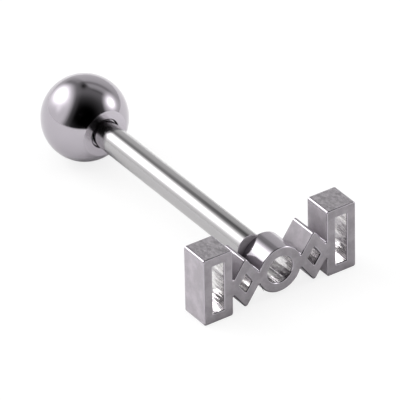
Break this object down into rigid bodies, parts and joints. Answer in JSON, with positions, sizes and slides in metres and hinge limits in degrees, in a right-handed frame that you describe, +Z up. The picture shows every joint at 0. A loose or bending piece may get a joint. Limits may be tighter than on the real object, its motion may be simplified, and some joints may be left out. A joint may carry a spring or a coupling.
{
  "type": "tongue barbell",
  "caption": "Steel tongue barbell: a straight 1.6 mm post with a pierced geometric ornamental head soldered on one end and a screw-on ball on the other.",
  "frame": {"origin": "on the surface that the barbell lies on, below the middle of its box", "axes": "+Y along the post from the head towards the ball, +X along the row of the head to the right as its front is seen, +Z up"},
  "size_m": [0.01, 0.0204, 0.005],
  "materials": {
    "satin_steel": "satin cast and tumbled surgical steel with polished edges and a polished post",
    "polished_steel": "mirror polished surgical steel"
  },
  "bodies": {
    "bar": {"post_with_head": "satin_steel"},
    "ball": {"ball": "polished_steel"}
  },
  "joints": [
    {"name": "ball_travel", "type": "slide", "parent": "bar", "child": "ball", "axis": [0, 1, 0], "range_m": [0, 0.02]}
  ]
}
